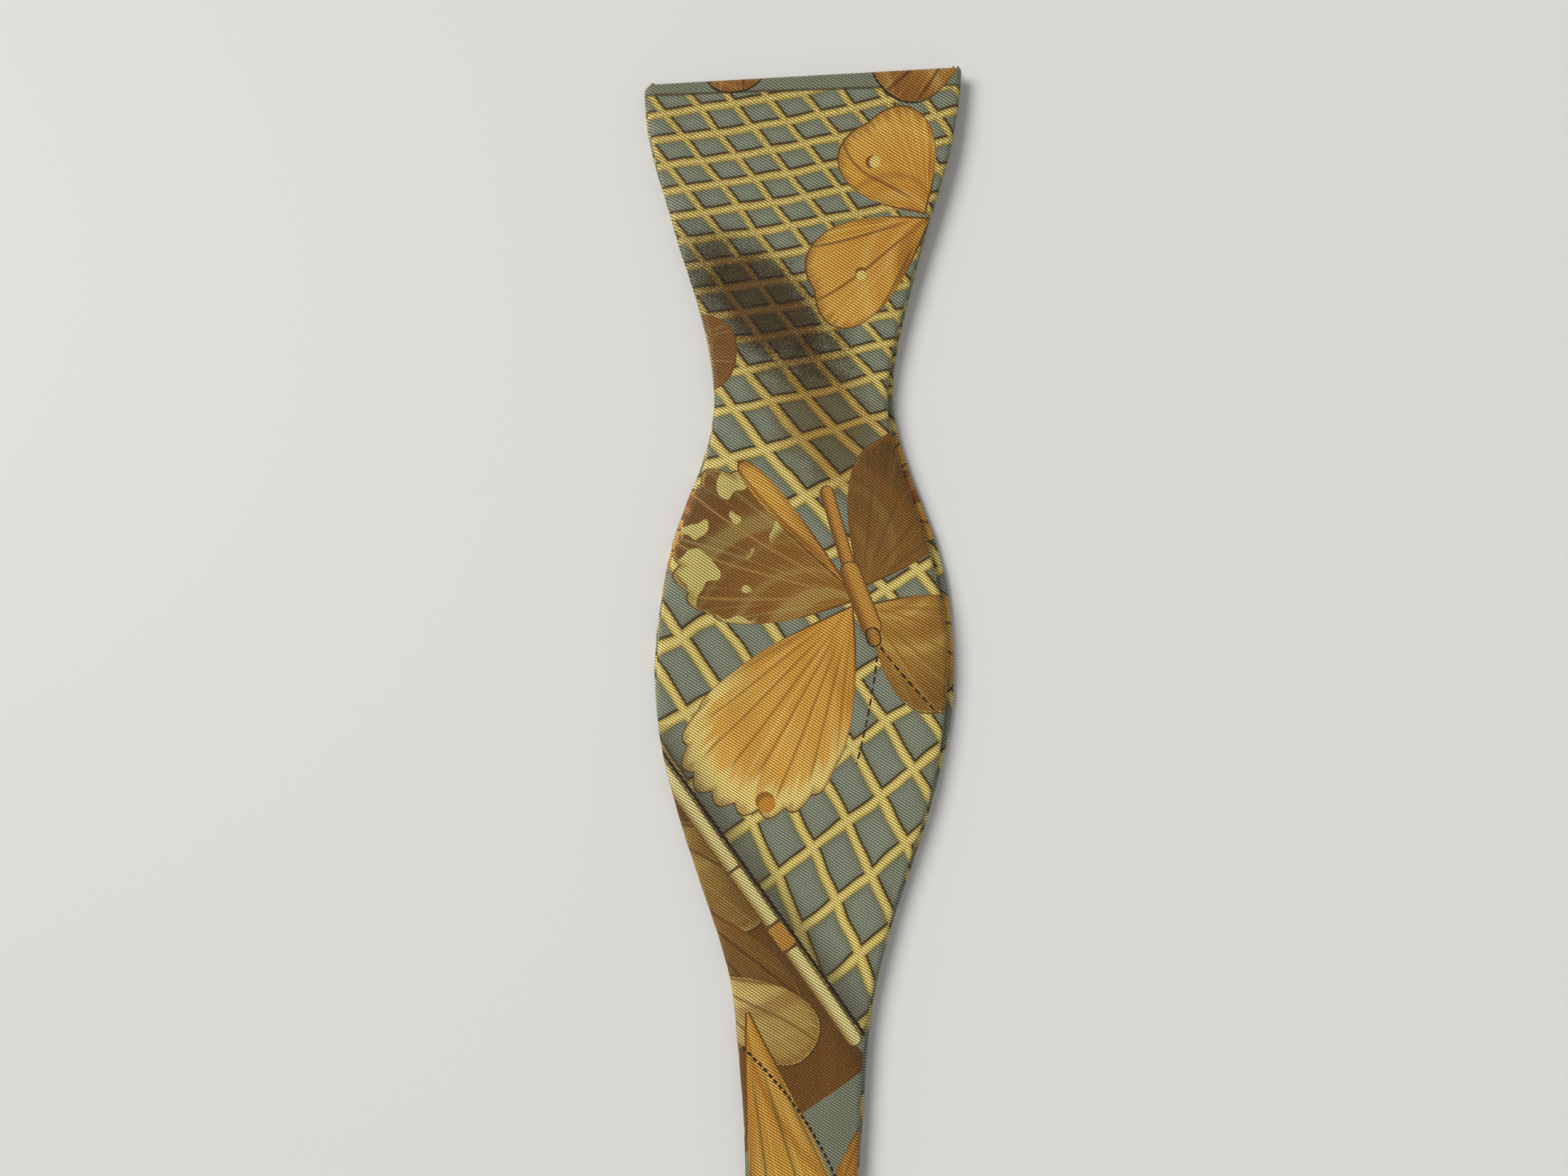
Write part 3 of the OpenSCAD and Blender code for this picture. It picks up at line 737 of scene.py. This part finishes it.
MOTH = {"margin": 0.4, "scallops": 1, "scallop": 0.1, "vein": BROWN}
FACE_MOTIFS = (
    motif(0, 80, "cloud", (-8, 47), 43, (25, 11.5), SMOKE, 0.98),
    motif(40, 95, "cloud", (5, 70), 60, (22, 12), HAZE, 0.85),
    # A resting moth near the tip
    motif(0, 60, "wing", (25, 29.5), -122, 25, 45, OCHRE, OCHRE_LIGHT, veins=1, **MOTH),
    motif(0, 60, "wing", (26.5, 30), 150, 31, 35, OCHRE, OCHRE_LIGHT, veins=3, skew=-0.12,
          **MOTH),
    motif(0, 60, "eye", (14.5, 18.5), 1.15),
    motif(0, 60, "eye", (12, 41), 1, 80),
    # Petals that run over the tip and the left edge
    motif(30, 80, "petal", (-36, 55), 5, 23, 38, BROWN_LIGHT, BROWN, margin=0.4, veins=9),
    # The rolled seam at the tip, with painted shade along its fold
    motif(0, 20, "rolled_edge_and_fold_shade", 3.4, 0.02),
    motif(0, 20, "petal", (-15, -13), 84, 16.5, 42, OCHRE, OCHRE_DEEP, margin=0.4, veins=3,
          vein=INK, edge=INK),
    motif(0, 20, "petal", (36, -14), 138, 27, 34, OCHRE, OCHRE_DEEP, margin=0.6, veins=5,
          vein=INK, edge=INK),
    # The large butterfly
    motif(67, 120, "wing", (12, 104), -64, 34, 40, UMBER, UMBER_DEEP, pale=TAN,
          scallop=0.03, margin=0.8, vein=BROWN),
    # The right lower wing: its honey print colour and brown outer part are darkened with painted shade of a
    # fold
    motif(90, 140, "wing", (13, 107), 34, 30, 46, HONEY_AND_FOLD_SHADE, BROWN, scallop=0.04,
          margin=1, veins=7, vein=BROWN_LIGHT),
    motif(95, 160, "wing", (10.5, 107), 121, 49, 34, GOLD, GOLD_LIGHT, pale=GOLD_PALE,
          scallops=11, scallop=0.04, veins=9, vein=GOLD_VEIN, margin=8.5, skew=0.1, mottle=0.35),
    motif(67, 125, "wing", (11, 106.5), -160, 40, 38, BROWN_LIGHT, BROWN, pale=BLOTCH,
          scallops=9, vein=BROWN_VEIN, margin=1.4, blotches=0.555,
          skew=0.16, blunt=3.4),
    motif(67, 112, "petal", (11, 105.5), -131, 36, 7, OCHRE, OCHRE_LIGHT, veins=1,
          margin=0.3),
    motif(140, 156, "eye", (-7, 147.5), 1.7, 60, rim=BROWN_LIGHT, pupil=OCHRE),
    motif(80, 112, "rod", (5, 84.5), (10, 101), 3, TAIL, OCHRE_DEEP),
    motif(95, 120, "rod", (9.8, 100.5), (14, 111.5), 4.4, THORAX, OCHRE_DEEP),
    motif(110, 120, "rod", (14.2, 113.2), (14.5, 114.2), 3.2, HEAD, BROWN, edge=INK),
    motif(112, 132, "dashes", (15.6, 115.5), (27, 128.5)),
    motif(112, 142, "dashes", (15.2, 117), (11, 139.5), bow=-0.004),
    # A cane, and long golden petals on the band
    motif(190, 250, "plain", 196, 246),
    motif(131, 225, "cane", (-29, 139), (10.5, 194.5)),
    motif(190, 268, "petal", (-11.5, 187), 76, 78, 13.5, OCHRE, PETAL_TIP, veins=3,
          vein=PETAL_VEIN, margin=3),
    motif(198, 245, "petal", (17, 203), 106, 36, 15, OCHRE, OCHRE_DEEP, margin=0.3,
          veins=3),
    motif(190, 240, "petal", (-16, 196), 92, 40, 9, BROWN_LIGHT, BROWN, margin=0.3,
          veins=1, vein=INK, edge=INK),
    motif(190, 228, "dashes", (-12, 196), (7.5, 224), dash=1.5, bow=-0.006, thickness=0.5),
)
# The other silk layers: large, bright petals along the edges
LARGE = {"scallop": 0.03, "veins": 7, "vein": INK, "margin": 1.5, "edge": INK}
SLIM = {"veins": 1, "margin": 0.2, "edge": INK}
BACK_MOTIFS = (
    motif(60, 112, "wing", (8, 84), -14, 27, 48, OCHRE_LIGHT, OCHRE, **LARGE),
    motif(60, 112, "petal", (6, 92), -35, 26, 14, RUST, RUST_LIGHT, **SLIM),
    motif(70, 142, "wing", (4, 104), 22, 33, 40, STRAW, OCHRE_LIGHT, **LARGE),
    motif(60, 130, "wing", (-6, 96), -168, 29, 46, OCHRE, OCHRE_LIGHT, **LARGE),
    motif(60, 110, "petal", (-8, 90), -158, 25, 12, RUST, RUST_LIGHT, **SLIM),
)
# Distances from the tip where one material of the print ends and the next begins
FACE_ZONES = (-5, 66, 130, 188, 268, 900)
BACK_ZONES = (-5, 60, 142, 900)


def print_group(name, motifs, low, high, offset):
    """A node group that gives the print's colour between two distances from the tip."""
    tree = bpy.data.node_groups.new(name, "ShaderNodeTree")
    tree.interface.new_socket("Cloth", in_out="INPUT", socket_type="NodeSocketVector")
    tree.interface.new_socket("Colour", in_out="OUTPUT", socket_type="NodeSocketColor")
    Field.tree = tree
    source = tree.nodes.new("NodeGroupInput")
    target = tree.nodes.new("NodeGroupOutput")
    art = Print(source.outputs[0], offset)
    art.trellis()
    for start, end, kind, values, settings in motifs:
        if start < high and end > low:
            getattr(art, kind)(*values, **settings)
    tree.links.new(art.colour, target.inputs[0])
    return tree


# ---- materials
def material(name, constants):
    """A new material whose tree is the one being built, and its shader with its constants set."""
    made = bpy.data.materials.new(name)
    made.use_nodes = True
    Field.tree = made.node_tree
    shader = made.node_tree.nodes["Principled BSDF"]
    for slot, value in constants.items():
        shader.inputs[slot].default_value = value
    return made, shader


def attach(shader, slot, value):
    value = value.socket if isinstance(value, Field) else value
    Field.tree.links.new(value, shader.inputs[slot])


def bump(height, distance_mm, strength):
    values = {"Height": height, "Distance": distance_mm * MM, "Strength": strength}
    return node("ShaderNodeBump", values).outputs[0]


# Distance from rib to rib, the length of a float in ribs, and how far it shifts from rib to rib
TWILL_PITCH, FLOAT_LENGTH, FLOAT_SHIFT = 0.52, 1.5, 0.37
TWILL_ANGLE = math.radians(33)


def twill(u, s, place):
    """A twill weave: 1 at the middle of a slanted rib, and 1 at the middle of each float on it."""
    drift = (noise(place, 0.045, 2) - 0.5) * 1.6
    across = (u * math.sin(TWILL_ANGLE) - s * math.cos(TWILL_ANGLE)) / TWILL_PITCH + drift
    along = (u * math.cos(TWILL_ANGLE) + s * math.sin(TWILL_ANGLE)) / (TWILL_PITCH * FLOAT_LENGTH)
    rib = 1 - absolute(to_nearest(across)) * 2
    step = op("FLOOR", across + 0.5)
    return rib, 1 - absolute(to_nearest(along + step * FLOAT_SHIFT)) * 2


# The painted shade between the ribs, the painted highlight on the ribs, and pale flecks
PAINTED_GAP_SHADE, PAINTED_RIB_HIGHLIGHT, FLECK = "1E1408", (1.2, 1.17, 1.05, 1), "F2E0A8"


def silk_material(name, picture_tree):
    made, shader = material(name, {
        "Specular IOR Level": 0.24,
        "Sheen Weight": 0.05,
        "Sheen Roughness": 0.45,
        "Sheen Tint": rgb("F4E8C8"),
    })
    cloth = node("ShaderNodeAttribute", attribute_name="cloth_mm").outputs["Vector"]
    u, s = split(cloth)
    rib, grain = twill(u, s, cloth)
    picture = node("ShaderNodeGroup", node_tree=picture_tree)
    Field.tree.links.new(cloth, picture.inputs[0])
    colour = picture.outputs[0]
    thread = ramp(rib, 0.1, 0.75) * (0.72 + grain * 0.28)
    fleck = noise(cloth, 3.1, 3, 0.7)
    # Painted shade darkens the print between the ribs, and a painted highlight brightens it on the ribs
    colour = tint(thread, tint(0.86, colour, PAINTED_GAP_SHADE), tint(1, colour, PAINTED_RIB_HIGHLIGHT, "MULTIPLY"))
    colour = tint(ramp(fleck, 0.54, 0.78) * 0.16, colour, FLECK, "SCREEN")
    attach(shader, "Base Color", colour)
    attach(shader, "Roughness", 0.62 - thread * 0.2)
    height = thread + (noise(cloth, 1.3, 2) - 0.5) * 0.5
    attach(shader, "Normal", bump(height, 0.05, 0.7))
    return made


def position():
    return node("ShaderNodeNewGeometry").outputs["Position"]


def plain_cloth(name, light, dark, pitch, rough):
    """Plain-woven cloth, such as interlining or a label."""
    made, shader = material(name, {"Roughness": rough, "Sheen Weight": 0.15})
    cloth = position()
    x, y = split(cloth)
    turns = 2 * math.pi / (pitch * MM)
    weave = sine(x * turns) * sine(y * turns) * 0.5 + 0.5
    uneven = noise(cloth, 260, 3, over="3D")
    attach(shader, "Base Color", tint(weave * 0.6 + uneven * 0.4, dark, light))
    attach(shader, "Normal", bump(weave + uneven, 0.06, 0.6))
    return made


def thread_material():
    made, shader = material("silk thread", {"Sheen Weight": 0.2})
    fibre = noise(position(), 9000, over="3D")
    attach(shader, "Base Color", tint(fibre, "7C6A38", "C2AE6C"))
    attach(shader, "Roughness", fibre * 0.2 + 0.4)
    attach(shader, "Normal", bump(fibre, 0.02, 0.6))
    return made


def gilt_material():
    """Polished gilt brass, with fine scratches and a little tarnish."""
    made, shader = material("gilt brass", {"Metallic": 1.0})
    place = position()
    tarnish = noise(place, 420, 4, over="3D")
    stretched = node("ShaderNodeMapping", {0: place, 3: (900, 9000, 9000)}).outputs[0]
    scratch = noise(stretched, 1, over="3D")
    attach(shader, "Base Color", tint(ramp(tarnish, 0.5, 0.72) * 0.5, "D8B766", "9A7434"))
    attach(shader, "Roughness", 0.2 + ramp(tarnish, 0.45, 0.7) * 0.16 + scratch * 0.08)
    attach(shader, "Normal", bump(scratch, 0.008, 0.35))
    return made


def printed_silk(name, motifs, zones, offset):
    """One silk, as a material for each stretch of the print, so that each shader stays small."""
    return [
        (high, silk_material(f"{name} {i}", print_group(f"{name} {i}", motifs, low, high, offset)))
        for i, (low, high) in enumerate(zip(zones, zones[1:]), 1)
    ]


SILK = printed_silk("printed silk face", FACE_MOTIFS, FACE_ZONES, (0, 0.2))
SILK_BACK = printed_silk("printed silk back", BACK_MOTIFS, BACK_ZONES, (1.5, -4))
LINING = plain_cloth("interlining", "EEE8DA", "BDB39C", 0.5, 0.9)
LABEL = plain_cloth("label satin", "F3F0E8", "D8D2C2", 0.22, 0.5)
THREAD = thread_material()
GILT = gilt_material()


def wear_print(mesh, stretches):
    """Gives each face the material of its stretch of the print."""
    cloth = np.zeros(len(mesh.vertices) * 3, np.float32)
    mesh.attributes["cloth_mm"].data.foreach_get("vector", cloth)
    first = np.zeros(len(mesh.polygons), np.int32)
    mesh.polygons.foreach_get("loop_start", first)
    corners = np.zeros(len(mesh.loops), np.int32)
    mesh.loops.foreach_get("vertex_index", corners)
    s = cloth.reshape(-1, 3)[corners[first], 1]
    zone = np.searchsorted([high for high, _ in stretches[:-1]], s)
    used = np.unique(zone)
    for k in used:
        mesh.materials.append(stretches[k][1])
    mesh.polygons.foreach_set("material_index", np.searchsorted(used, zone).astype(np.int32))


def dress(obj, look, body=None, replaced=()):
    """Gives a piece its material and its body, and hides the CAD nodes it stands for."""
    obj.data.materials.clear()
    if isinstance(look, list):
        wear_print(obj.data, look)
    else:
        obj.data.materials.append(look)
    if body:
        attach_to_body(obj, body)
    if replaced:
        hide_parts(*replaced)
    return obj


# ---- the two halves
def blade_thickness(s):
    return BAND_T + (BLADE_T - BAND_T) * (1 - smooth(222, 250, s))


def blade_path(tip_y, low_z):
    """The blade and the first of its band, lying flat."""
    s = np.arange(0, 262, 2.0)
    return [(tip_y - a, low_z + blade_thickness(np.array([a]))[0] / 2) for a in s]


# The upper band rises to the turn
LEG_RISE = 24.0
TURN_R = (TURN[1][2] - TURN[0][2]) / 2 - BAND_T / 2
TURN_Y = TURN[0][1] + TURN_R + BAND_T / 2
TURN_Z = (TURN[0][2] + TURN[1][2]) / 2
LEG_TOP_Y = FOLD_Y + 20.0
UPPER_PATH = (
    blade_path(UPPER_TIP, UPPER_Z)
    + [(LEG_TOP_Y + LEG_RISE, UPPER_Z + BAND_T / 2), (LEG_TOP_Y, TURN_Z - TURN_R)]
    + arc(TURN_Y, TURN_Z, TURN_R, 270, 90)
    + [(TURN[1][1], TURN_Z + TURN_R)]
)
UPPER = Strap(UPPER_PATH, blade_thickness, 14, UPPER_LIE, tip=True, seed=1.3, lift=0.35,
              soft=(1.35, 0.3))

# The lower band loops round the hook's bar
HOOK_BAR_R = 0.6
BAR_Y = HOOK[1][1] - 0.5
LOOP_R = HOOK_BAR_R + BAND_T / 2
LOOP_END_Z = 1.5 * BAND_T
LOWER_PATH = (
    blade_path(LOWER_TIP, 0.0)
    + arc(BAR_Y, BAND_T / 2 + LOOP_R, LOOP_R, 270, 90)
    + [(BAR_Y + 1, BAND_T / 2 + 2 * LOOP_R), (BAR_Y + 7, LOOP_END_Z), (BAR_Y + 18, LOOP_END_Z)]
)
LOWER = Strap(LOWER_PATH, blade_thickness, 30, LOWER_LIE, tip=True, seed=4.1, soft=(0.4, 0.3))

# The returning band's thinner end wraps the slide buckle's bar
WRAP_T = 0.6
WRAP_TOP = WRAP[1][2] - BAND_T / 2
WRAP_LOW = WRAP[0][2] + WRAP_T / 2
WRAP_R = (WRAP_TOP - WRAP_LOW) / 2
WRAP_Y = WRAP[1][1] - WRAP_R - 0.05
RETURN_PATH = (
    [(TURN[1][1], TURN_Z + TURN_R), (LEG_TOP_Y, TURN_Z + TURN_R), (RETURN[1][1] - 6.8, WRAP_TOP)]
    + [(WRAP_Y - 4, WRAP_TOP)]
    + arc(WRAP_Y, WRAP_LOW + WRAP_R, WRAP_R, 90, -90)
    + [(WRAP[0][1], WRAP_LOW)]
)
RETURN_LENGTH = sum(math.dist(a, b) for a, b in zip(RETURN_PATH, RETURN_PATH[1:]))


def return_thickness(s):
    from_end = RETURN_LENGTH - s
    return BAND_T - 0.4 * (1 - smooth(11, 14, from_end)) - 0.06 * (1 - smooth(0, 1.5, from_end))


BACK_STRAP = Strap(RETURN_PATH, return_thickness, 18, seed=2.2, s_from=UPPER.length)


def dress_cloth(piece, strap, look, nodes):
    """Dresses a layer of a strap; a layer of the lower strap rides on the lower half's body."""
    dress(piece, look, "lower_half" if strap is LOWER else None, nodes)
    if strap is UPPER:
        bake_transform(piece)
    if strap is BACK_STRAP:
        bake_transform(piece)


for name, strap, side, nodes, rests_on in (
    ("lower_front_panel", LOWER, -1, ["lower_front_silk"], ["hook"]),
    ("lower_back_panel", LOWER, 1, ["lower_back_silk"], ["hook"]),
    ("upper_front_panel", UPPER, 1, ["upper_front_silk", "through_leg", "band_turn"],
     ["lower_back_panel", "eye"]),
    ("upper_back_panel", UPPER, -1, ["upper_back_silk"], ["lower_back_panel", "eye"]),
    ("return_front_panel", BACK_STRAP, 1, ["return_leg"], ["eye", "slide_buckle"]),
    ("return_back_panel", BACK_STRAP, -1, ["end_wrap"], ["eye", "slide_buckle"]),
):
    panel, flat, area = sheet_of(name, strap, side)
    face = "front" in name
    dress_cloth(panel, strap, SILK if face else SILK_BACK, nodes)

for name, strap, fill, nodes in (
    ("lower_interlining", LOWER, 0.5, ["lower_blade_interlining", "lower_band_interlining"]),
    ("upper_interlining", UPPER, 0.5, ["upper_blade_interlining", "upper_band_interlining"]),
    ("return_interlining", BACK_STRAP, 0.4, []),
):
    pad = pad_of(name, strap)
    dress_cloth(pad, strap, LINING, nodes)


# ---- hook, eye and slide buckle
def eye_route():
    """Centre line of the wire eye: a rounded rectangle that leans up from the fold line."""
    low, high = cad_box("eye")
    radius = FOLD_Z - low[2]
    arm_x = high[0] - radius
    rise = high[2] - radius - FOLD_Z
    reach = high[1] - radius - FOLD_Y
    run = math.hypot(rise, reach)
    corner, corner_steps = 2.0, 12
    centres = [(arm_x - corner, run - corner), (corner - arm_x, run - corner),
               (corner - arm_x, corner), (arm_x - corner, corner)]
    route = []
    for turn, (x, v) in enumerate(centres):
        for k in range(corner_steps + 1):
            a = math.radians(90 * (turn + k / corner_steps))
            across, along = x + corner * math.cos(a), v + corner * math.sin(a)
            route.append((across, FOLD_Y + along * reach / run, FOLD_Z + along * rise / run))
    return route, radius


EYE_ROUTE, WIRE_R = eye_route()
eye = tube("eye_wire", [EYE_ROUTE], WIRE_R, plies=0, sides=20, closed=True)
dress(eye, GILT, "eye_ring", ["eye"])
clasp = softened("hook_clasp", "hook", 0.14)
dress(clasp, GILT, "lower_half", ["hook"])
buckle = softened("slide_frame", "slide_buckle", 0.16)
dress(buckle, GILT, "slide", ["slide_buckle"])


# ---- hand stitches and tacks
def slip_stitches(node, count=16):
    """Slanted stitches that close the band's edge, one after another."""
    low, high = cad_box(node)
    stitch, bulge = 2.4, 0.16
    pitch = (high[1] - low[1] - stitch) / (count - 1)
    x, z = (low[0] + high[0]) / 2, (low[2] + high[2]) / 2
    routes = []
    for i in range(count):
        start = low[1] + pitch * i
        slant = 0.07 * math.sin(2.3 * i)
        routes.append([
            (x + bulge * math.sin(math.pi * t) - 0.24 + 0.1 * t * (1 - t), start + stitch * t,
             z + slant * (2 * t - 1))
            for t in np.linspace(0, 1, 13)
        ])
    return routes


def tack_threads(node, count=11):
    """Short threads side by side that fasten a band's end."""
    low, high = cad_box(node)
    radius = (high[2] - low[2]) / 2
    routes = []
    for i in range(count):
        x = low[0] + radius + (high[0] - low[0] - 2 * radius) * i / (count - 1)
        uneven = 0.12 * math.sin(5.1 * i)
        routes.append([
            (x + uneven * (t - 0.5), low[1] + (high[1] - low[1]) * t,
             low[2] - 0.05 + radius * 1.1 * math.sin(math.pi * t) ** 0.6)
            for t in np.linspace(0, 1, 13)
        ])
    return routes, radius


for name, node_name, body in (
    ("lower_slip_stitches", "lower_closing_stitches", "lower_half"),
    ("upper_slip_stitches", "upper_closing_stitches", "upper_half"),
):
    stitches = tube(name, slip_stitches(node_name), 0.15, pitch=0.8, sides=12)
    dress(stitches, THREAD, body, [node_name])

for name, node_name, body in (
    ("hook_tack_threads", "hook_tack", "lower_half"),
    ("end_tack_threads", "end_tack", "slide"),
):
    routes, thread_r = tack_threads(node_name)
    dress(tube(name, routes, thread_r * 0.85, sides=12), THREAD, body, [node_name])


# ---- labels, left blank
def label(name, node_name, thickness, bow=0.03):
    """A blank woven label: a thin closed sheet with softly waved edges and turned-under ends."""
    low, high = cad_box(node_name)
    columns, rows = 24, 44
    x = np.linspace(low[0], high[0], columns)[None, :]
    y = np.linspace(low[1], high[1], rows)[:, None]
    across = (x - low[0]) / (high[0] - low[0]) * 2 - 1
    along = (y - low[1]) / (high[1] - low[1]) * 2 - 1
    wave = bow * (1 - along**2) * (0.6 + 0.4 * np.sin(3.0 * along + 1.3 * across))
    hem = 0.04 * smooth(0.86, 0.93, np.abs(along))
    round_off = smooth(1.0, 0.97, np.abs(across)) * smooth(1.0, 0.98, np.abs(along))
    top = low[2] + FLOOR_GAP + (thickness + wave + hem) * (0.35 + 0.65 * round_off)
    bottom = low[2] + FLOOR_GAP / 2 + wave * 0.5 * round_off
    grid_x = x + 0.05 * np.sin(5.0 * along) * across
    grid_y = y + 0.04 * np.cos(4.0 * across) * along
    return shell(name, np.stack([grid_x, grid_y, top], -1), np.stack([grid_x, grid_y, bottom], -1))


maker = label("blank_maker_label", "maker_label", 0.13)
dress(maker, LABEL, "lower_half", ["maker_label"])
care = label("blank_care_label", "care_label", 0.17)
dress(care, LABEL, "lower_half", ["care_label"])


def label_stitches(node_name, inset, count):
    """A row of small stitches across each end of a label."""
    low, high = cad_box(node_name)
    routes = []
    margin, stitch_share = 0.5, 0.64
    pitch = (high[0] - low[0] - 2 * margin) / count
    for row_y in (low[1] + inset, high[1] - inset):
        for i in range(count):
            x = low[0] + margin + pitch * (i + (1 - stitch_share) / 2)
            y = row_y + 0.03 * math.sin(4.0 * i)
            routes.append([
                (x + pitch * stitch_share * t, y, high[2] - 0.06 + 0.04 * math.sin(math.pi * t))
                for t in np.linspace(0, 1, 7)
            ])
    return routes


seams = label_stitches("maker_label", 0.9, 9) + label_stitches("care_label", 0.6, 5)
dress(tube("label_stitches", seams, 0.07, pitch=0.5, sides=8), THREAD, "lower_half")


# ---- floor, light and camera
FLOOR_HALF = 30000.0
FLOOR_CORNERS = [(x * FLOOR_HALF, y * FLOOR_HALF, 0) for x, y in ((-1, -1), (1, -1), (1, 1), (-1, 1))]
floor = new_object("floor", FLOOR_CORNERS, [(0, 1, 2, 3)])
paint, _ = material("pale floor", {"Base Color": rgb("D7D7D6"), "Roughness": 0.6})
floor.data.materials.append(paint)

PICTURE_CENTRE = (-3.6, UPPER_TIP - 103.6)
CAMERA_HEIGHT = 228.4
camera_data = bpy.data.cameras.new("camera")
camera_data.sensor_width = 36.0
camera_data.lens = 26.0
camera_data.clip_start = 0.005
camera = linked("camera", camera_data)
camera.location = Vector((*PICTURE_CENTRE, CAMERA_HEIGHT + UPPER_Z + BLADE_T)) * MM
bpy.context.scene.camera = camera


def soft_light(name, towards, spread_deg, strength, colour):
    """Even, soft daylight from one side."""
    data = bpy.data.lights.new(name, "SUN")
    data.angle = math.radians(spread_deg)
    data.energy = strength
    data.color = colour
    lamp = linked(name, data)
    lamp.rotation_mode = "QUATERNION"
    lamp.rotation_quaternion = Vector(towards).to_track_quat("Z", "Y")


soft_light("window", (-0.62, 0.2, 0.72), spread_deg=30.0, strength=2.75, colour=(1.0, 0.985, 0.96))
soft_light("fill", (0.5, -0.35, 0.8), spread_deg=80.0, strength=0.2, colour=(1.0, 1.0, 1.0))
world = bpy.data.worlds.new("room")
world.use_nodes = True
backdrop = world.node_tree.nodes["Background"]
backdrop.inputs["Color"].default_value = rgb("F3F3F1")
# As pale as the floor near the horizon, and dimmer overhead
Field.tree = world.node_tree
direction = node("ShaderNodeTexCoord").outputs["Generated"]
upward = Field(node("ShaderNodeSeparateXYZ", {0: direction}).outputs[2])
attach(backdrop, "Strength", ramp(upward, 0.12, 0.4, low=0.745, high=0.325))
bpy.context.scene.world = world
bpy.context.scene.view_settings.view_transform = "Standard"
